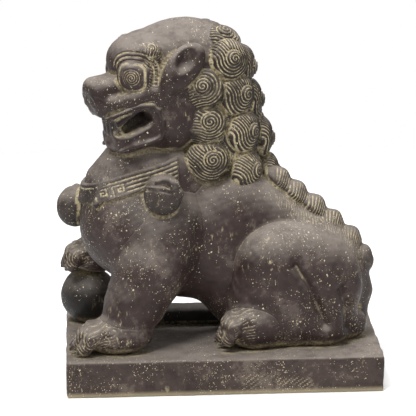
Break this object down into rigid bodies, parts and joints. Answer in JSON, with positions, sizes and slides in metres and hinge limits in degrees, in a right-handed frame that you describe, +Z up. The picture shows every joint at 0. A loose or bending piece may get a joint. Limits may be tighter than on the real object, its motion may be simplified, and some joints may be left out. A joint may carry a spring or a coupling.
{
  "type": "foo dog statue",
  "caption": "Seated guardian lion with an open mouth, curled mane, belled collar and a crest of tufts, its far forepaw on a ball, on a rectangular plinth.",
  "frame": {"origin": "centre of the plinth's flat underside", "axes": "+Z up; the lion's chest faces -X; its left flank faces -Y; the ball is at the -X +Y corner"},
  "size_m": [0.3237, 0.2, 0.366],
  "materials": {
    "plinth_stone": "matt cast stone, dusty, cream in the corners",
    "body_stone": "matt purple-brown cast stone, rubbed smooth, cream lime specks",
    "head_stone": "matt purple-brown cast stone, rubbed smooth",
    "mane_stone": "combed cast stone with cream dust in the grooves",
    "crest_stone": "combed cast stone with cream dust in the grooves",
    "collar_stone": "cast stone with cream dust in the incised pattern",
    "ball_stone": "darker cast stone, slightly burnished"
  },
  "bodies": {
    "root": {"ball": "ball_stone", "ball_sash": "ball_stone", "bell_left": "collar_stone", "bell_right": "collar_stone", "collar_left": "collar_stone", "collar_right": "collar_stone", "crest_1": "crest_stone", "crest_2": "crest_stone", "crest_3": "crest_stone", "crest_4": "crest_stone", "crest_5": "crest_stone", "crest_6": "crest_stone", "curl_left_back_1": "mane_stone", "curl_left_back_2": "mane_stone", "curl_left_back_3": "mane_stone", "curl_left_back_4": "mane_stone", "curl_left_cheek_1": "mane_stone", "curl_left_cheek_2": "mane_stone", "curl_left_cheek_3": "mane_stone", "curl_left_crown": "mane_stone", "curl_left_side_1": "mane_stone", "curl_left_side_2": "mane_stone", "curl_left_side_3": "mane_stone", "curl_left_side_4": "mane_stone", "curl_right_back_1": "mane_stone", "curl_right_back_2": "mane_stone", "curl_right_back_3": "mane_stone", "curl_right_back_4": "mane_stone", "curl_right_cheek_1": "mane_stone", "curl_right_cheek_2": "mane_stone", "curl_right_cheek_3": "mane_stone", "curl_right_crown": "mane_stone", "curl_right_side_1": "mane_stone", "curl_right_side_2": "mane_stone", "curl_right_side_3": "mane_stone", "curl_right_side_4": "mane_stone", "face": "head_stone", "front_teeth": "head_stone", "left_brow": "head_stone", "left_ear": "head_stone", "left_eye": "head_stone", "left_foreleg": "body_stone", "left_forepaw": "body_stone", "left_hind_foot": "body_stone", "left_thigh": "body_stone", "lower_jaw": "head_stone", "mane_hood": "mane_stone", "muzzle": "head_stone", "nose": "head_stone", "plinth": "plinth_stone", "right_brow": "head_stone", "right_ear": "head_stone", "right_eye": "head_stone", "right_foreleg": "body_stone", "right_forepaw": "body_stone", "right_hind_foot": "body_stone", "right_thigh": "body_stone", "tail": "crest_stone", "throat": "body_stone", "trunk": "body_stone"}
  },
  "joints": []
}
